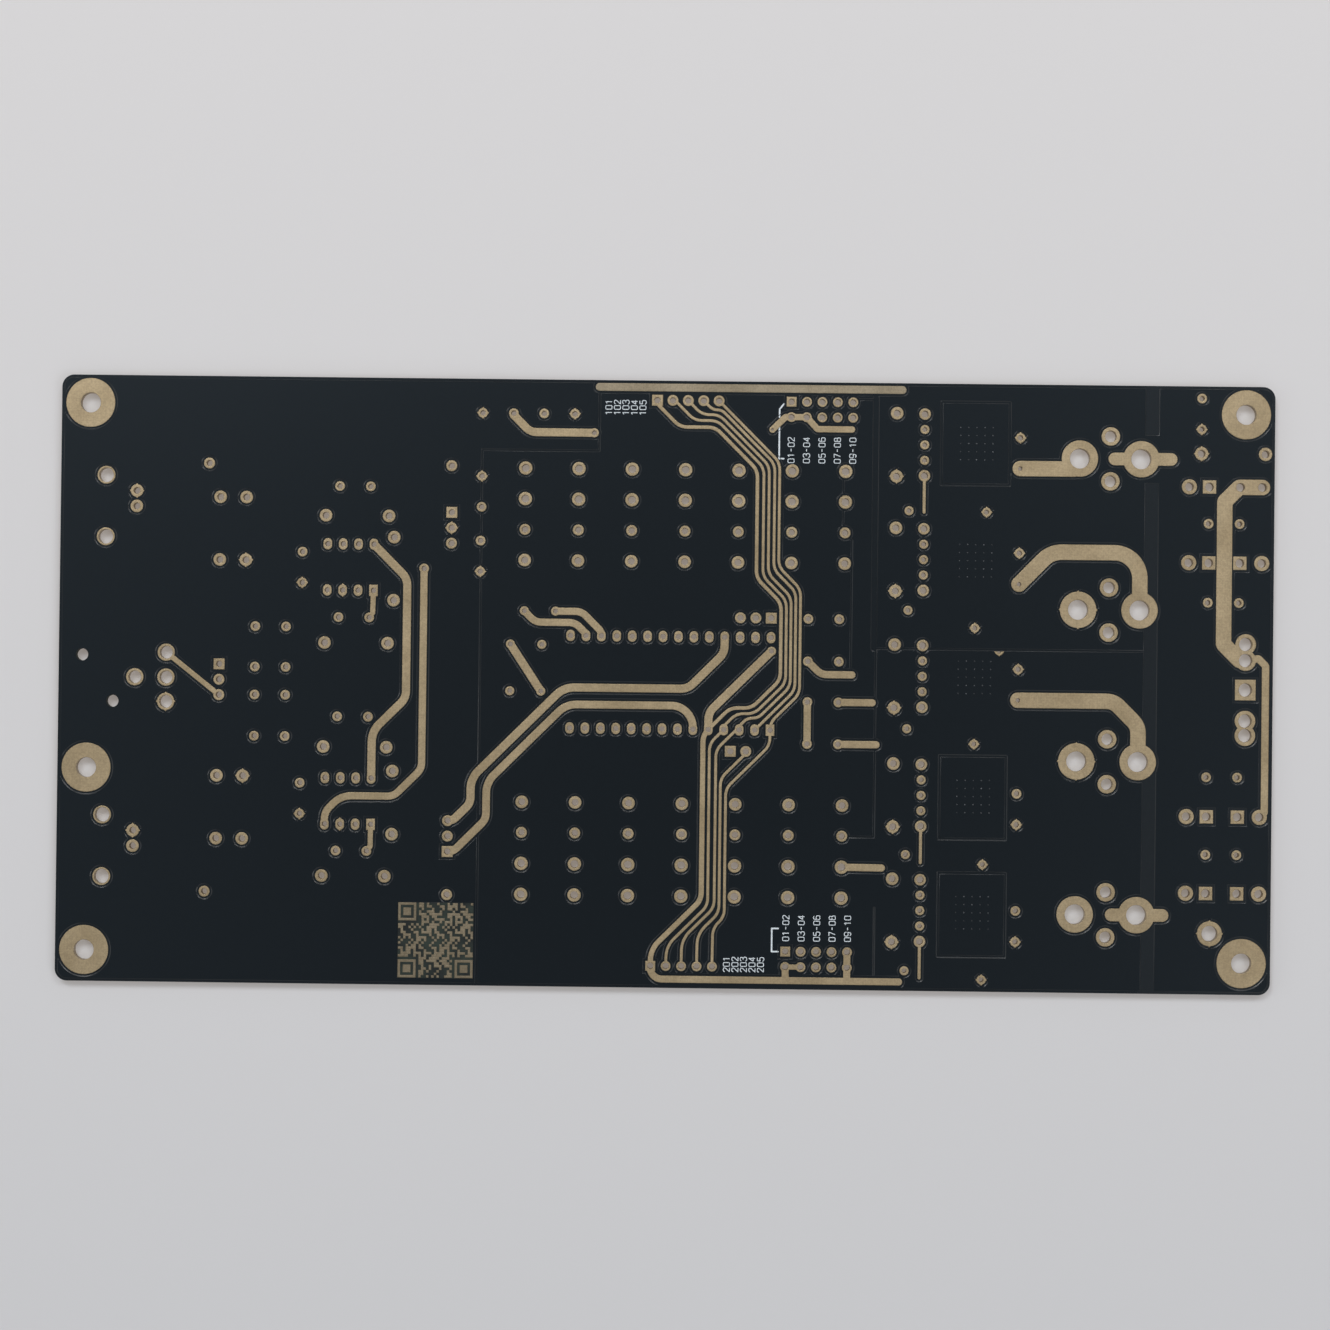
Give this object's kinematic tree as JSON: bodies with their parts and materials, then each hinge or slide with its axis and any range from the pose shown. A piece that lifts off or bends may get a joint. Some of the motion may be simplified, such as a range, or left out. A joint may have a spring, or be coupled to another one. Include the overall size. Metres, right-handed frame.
{
  "type": "audio dac board",
  "caption": "Bare rectangular printed circuit board for an audio converter, black mask, plated holes, wide bare copper tracks and corner fixing holes.",
  "frame": {"origin": "centre of the board's outline, on its back face", "axes": "+X along the board towards its power end, +Y across it towards the upper bus header, +Z out of the printed side"},
  "size_m": [0.2, 0.1, 0.0016],
  "materials": {
    "laminate": "cut glass-fibre edge, dark olive",
    "solder_mask": "satin blue-black film",
    "plated_copper": "pale immersion gold, satin",
    "legend": "screen-printed ink"
  },
  "bodies": {
    "root": {"amplifier_bias_track": "plated_copper", "amplifier_film_capacitor_pads": "plated_copper", "amplifier_socket_pads": "plated_copper", "amplifier_supply_track": "plated_copper", "back_solder_mask": "solder_mask", "bit_clock_track": "plated_copper", "bypass_pads": "plated_copper", "channel_header_pads": "plated_copper", "clock_tracks": "plated_copper", "coaxial_socket_pads": "plated_copper", "code_patch": "plated_copper", "converter_socket_pads": "plated_copper", "coupling_capacitor_pads": "plated_copper", "data_track": "plated_copper", "decoupling_capacitor_pads": "plated_copper", "decoupling_stub_track": "plated_copper", "earth_pad": "plated_copper", "edge_ground_strip": "plated_copper", "feedback_resistor_pads": "plated_copper", "feedback_stub_tracks": "plated_copper", "filter_bridge_track": "plated_copper", "filter_resistor_pads": "plated_copper", "filter_supply_track": "plated_copper", "fixing_hole_lands": "plated_copper", "frame_clock_tracks": "plated_copper", "front_solder_mask": "solder_mask", "ground_bus_track": "plated_copper", "half_masked_pad": "plated_copper", "header_ground_track": "plated_copper", "inlet_filter_pads": "plated_copper", "inlet_pads": "plated_copper", "input_resistor_pads": "plated_copper", "laminate": "laminate", "left_output_track": "plated_copper", "legend_print": "legend", "load_resistor_pads": "plated_copper", "lower_bus_header_pads": "plated_copper", "option_header_pads": "plated_copper", "output_resistor_pads": "plated_copper", "output_terminal_lands": "plated_copper", "output_tracks": "plated_copper", "phono_link_track": "plated_copper", "phono_socket_pads": "plated_copper", "power_track": "plated_copper", "rectifier_pads": "plated_copper", "regulator_film_capacitor_pads": "plated_copper", "regulator_pads": "plated_copper", "regulator_stub_tracks": "plated_copper", "right_output_track": "plated_copper", "selector_header_pads": "plated_copper", "shield_lands": "plated_copper", "snubber_pads": "plated_copper", "supply_resistor_pads": "plated_copper", "supply_tracks": "plated_copper", "system_clock_track": "plated_copper", "terminal_prong_pads": "plated_copper", "test_point_pads": "plated_copper", "upper_bus_header_pads": "plated_copper"}
  },
  "joints": []
}
